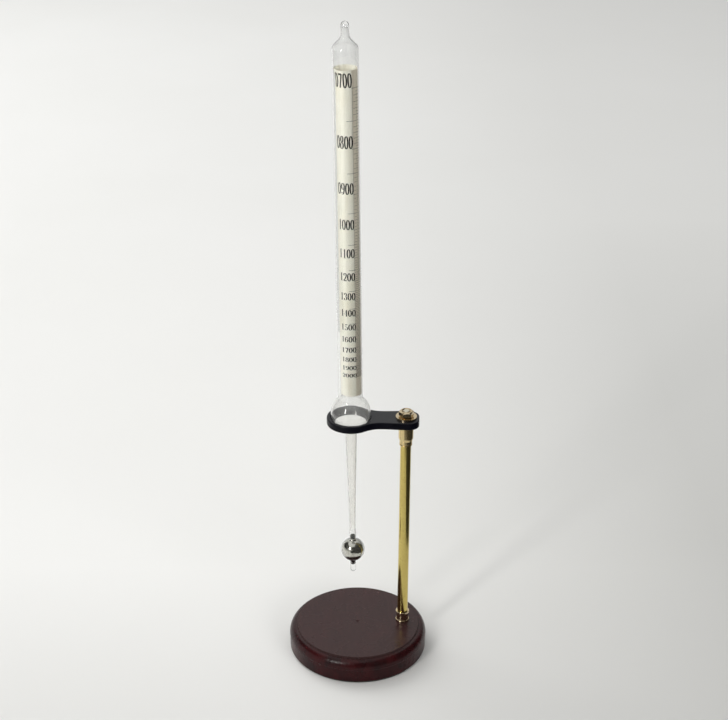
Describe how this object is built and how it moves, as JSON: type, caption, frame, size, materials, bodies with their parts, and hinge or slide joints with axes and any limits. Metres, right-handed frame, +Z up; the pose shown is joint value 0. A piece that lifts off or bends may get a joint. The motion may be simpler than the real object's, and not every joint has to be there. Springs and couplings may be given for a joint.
{
  "type": "hydrometer on a display stand",
  "caption": "Sealed glass hydrometer with a paper density scale and a mercury-filled bulb, hung in the ring of a clamped arm on a brass rod over a round wooden base.",
  "frame": {"origin": "centre of the stand's underside, on the surface it rests on", "axes": "+Z up along the hydrometer and the rod, +X from the base's centre to the rod; at rest the arm points from the rod back over the base at 173 degrees from +X, and the hydrometer leans 1 degree from upright in its ring"},
  "size_m": [0.1016, 0.1016, 0.4722],
  "materials": {
    "mahogany_lacquer": "gloss",
    "felt": "matte",
    "plated_steel": "satin",
    "brass": "polished",
    "brass_fittings": "satin",
    "black_arm": "satin",
    "clear_glass": "polished",
    "scale_paper": "matte",
    "mercury": "polished"
  },
  "bodies": {
    "stand": {"wood_base": "mahogany_lacquer", "felt_pad": "felt", "base_washer": "plated_steel", "base_nut": "plated_steel", "brass_rod": "brass", "foot_collar": "brass_fittings", "ferrule_ring": "brass_fittings", "top_ferrule": "brass_fittings"},
    "arm": {"holder_arm": "black_arm", "arm_washer": "brass_fittings"},
    "clamp_nut": {"arm_nut": "brass_fittings"},
    "hydrometer": {"glass_envelope": "clear_glass", "scale_paper": "scale_paper", "mercury_ballast": "mercury"}
  },
  "joints": [
    {"name": "arm_swing", "type": "hinge", "parent": "stand", "child": "arm", "pos_m": [0.03345, 0, 0.1877], "axis": [0, 0, 1], "continuous": true},
    {"name": "nut_turn", "type": "hinge", "parent": "stand", "child": "clamp_nut", "pos_m": [0.03345, 0, 0.1935], "axis": [0, 0, 1], "range_deg": [0, 360]},
    {"name": "hydrometer_lift", "type": "slide", "parent": "arm", "child": "hydrometer", "axis": [0, 0, 1], "range_m": [0, 0.13]}
  ]
}
